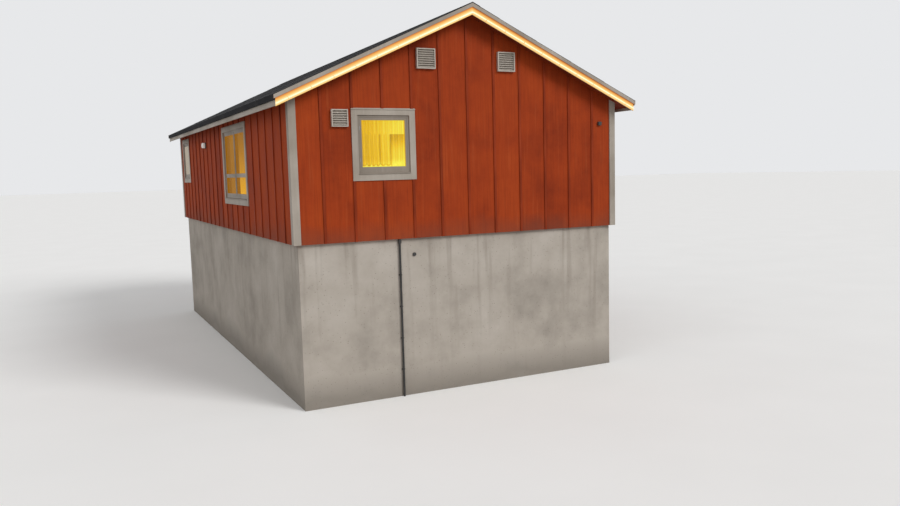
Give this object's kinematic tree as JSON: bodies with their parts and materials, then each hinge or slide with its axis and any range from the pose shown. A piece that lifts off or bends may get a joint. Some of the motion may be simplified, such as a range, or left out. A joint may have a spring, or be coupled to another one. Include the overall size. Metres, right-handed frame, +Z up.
{
  "type": "timber house on a tall concrete basement",
  "caption": "Red boarded timber house with a low gabled roof, a rope light along its front gable, casement windows and a tall rendered concrete basement.",
  "frame": {"origin": "middle of the footprint, on the level that the foot of the basement walls stands on", "axes": "+X to the right of the front gable seen from outside, +Y from the front gable to the back gable along the ridge, +Z up"},
  "size_m": [7.82, 13.82, 7.5647],
  "materials": {
    "concrete": "rendered concrete, weathered",
    "bare_timber": "planed softwood, unpainted",
    "red_boarding": "red-brown wood stain on sawn boards",
    "pale_trim": "weathered pale grey paint on planed boards",
    "white_joinery": "weathered pale satin paint",
    "roofing_felt": "mineral-faced black roofing felt",
    "rope_light": "clear flexible tube, lit warm white",
    "window_glass": "clear sealed unit",
    "curtain": "thin woven curtain, lit from inside",
    "door_paint": "pale satin paint",
    "handle_steel": "satin",
    "vent_paint": "pale powder coat",
    "lamp_cover": "opal",
    "dark_plastic": "moulded, weathered"
  },
  "bodies": {
    "root": {"basement_front_wall": "concrete", "basement_back_wall": "concrete", "basement_left_wall": "concrete", "basement_right_wall": "concrete", "floor_deck": "bare_timber", "ceiling_deck": "bare_timber", "front_wall": "red_boarding", "back_wall": "red_boarding", "left_wall": "red_boarding", "right_wall": "red_boarding", "corner_boards_front": "pale_trim", "corner_boards_back": "pale_trim", "roof_left": "bare_timber", "roof_right": "bare_timber", "covering_left": "roofing_felt", "covering_right": "roofing_felt", "ridge_cap": "roofing_felt", "eaves_strip_left": "roofing_felt", "eaves_strip_right": "roofing_felt", "verge_strips_left": "pale_trim", "verge_strips_right": "pale_trim", "fascia_left": "pale_trim", "fascia_right": "pale_trim", "bargeboards_left": "pale_trim", "bargeboards_right": "pale_trim", "rope_light": "rope_light", "front_window_casing": "pale_trim", "front_window_frame": "white_joinery", "left_window_casings": "pale_trim", "left_window_frames": "white_joinery", "right_casings": "pale_trim", "right_window_frames": "white_joinery", "back_window_casing": "pale_trim", "back_window_frame": "white_joinery", "window_glass": "window_glass", "curtains": "curtain", "door_frame": "white_joinery", "door_leaf": "door_paint", "door_handle": "handle_steel", "front_vents": "vent_paint", "back_vents": "vent_paint", "wall_lamp_base": "dark_plastic", "wall_lamp_cover": "lamp_cover", "wall_fittings": "dark_plastic", "service_conduit": "dark_plastic"}
  },
  "joints": []
}
